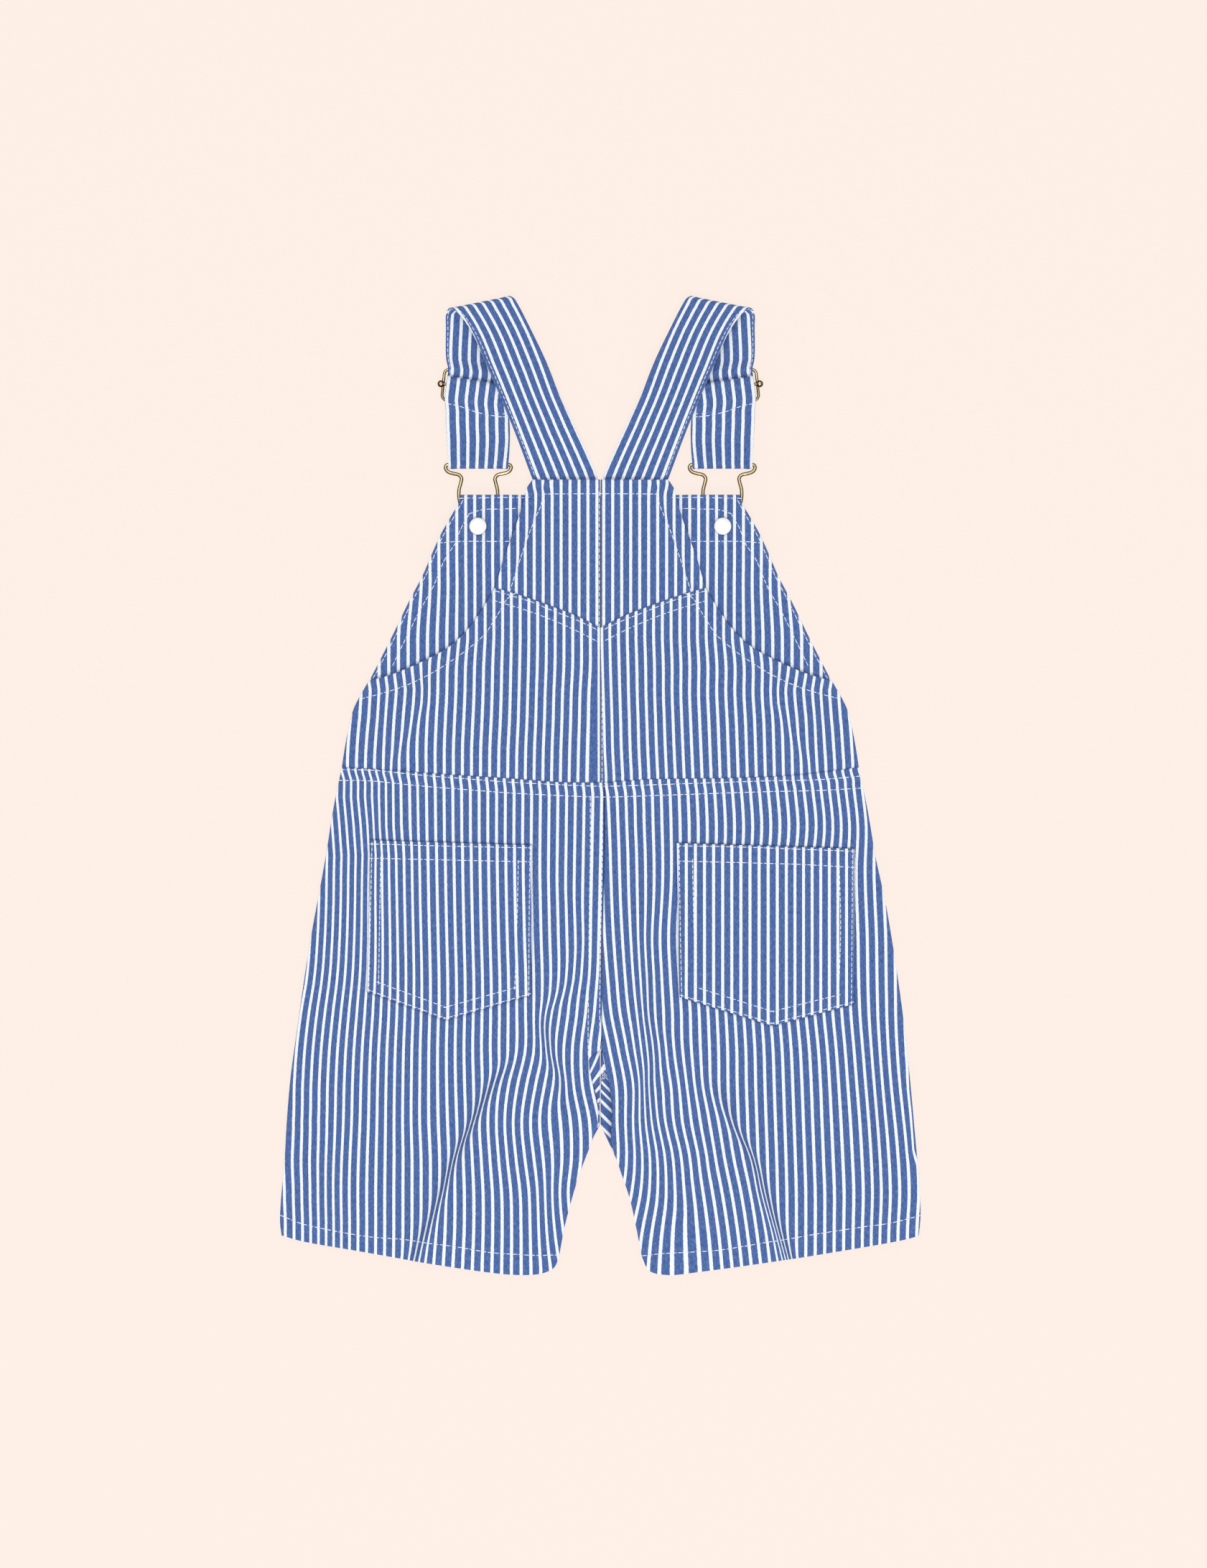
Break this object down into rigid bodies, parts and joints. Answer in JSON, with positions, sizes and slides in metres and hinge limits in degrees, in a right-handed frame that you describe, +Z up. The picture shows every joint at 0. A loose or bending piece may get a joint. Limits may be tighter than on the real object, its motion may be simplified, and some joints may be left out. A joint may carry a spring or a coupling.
{
  "type": "striped shortalls",
  "caption": "Small child's striped dungaree shorts laid face down, with patch pockets, shoulder straps, wire buckles and adjuster sliders.",
  "frame": {"origin": "middle of the outline on the surface that the garment lies on", "axes": "+Z up from that surface, +Y from the hems to the shoulder straps, +X to the wearer's right"},
  "size_m": [0.3208, 0.4908, 0.008],
  "materials": {
    "striped_twill": "cotton twill with yarn-dyed blue and white stripes, matt, white topstitching",
    "brass": "bright drawn brass wire, lightly worn",
    "white_enamel": "smooth white enamel"
  },
  "bodies": {
    "root": {"front_bib": "striped_twill", "front_leg_left": "striped_twill", "front_leg_right": "striped_twill", "back_leg_left": "striped_twill", "back_leg_right": "striped_twill", "back_pocket_left": "striped_twill", "back_pocket_right": "striped_twill", "back_bib_left": "striped_twill", "back_bib_right": "striped_twill", "back_yoke_left": "striped_twill", "back_yoke_right": "striped_twill", "strap_left": "striped_twill", "strap_right": "striped_twill", "buckle_wire_left": "brass", "buckle_wire_right": "brass", "slider_left": "brass", "slider_right": "brass", "button_left": "brass", "button_right": "brass", "tack_left": "white_enamel", "tack_right": "white_enamel"}
  },
  "joints": []
}
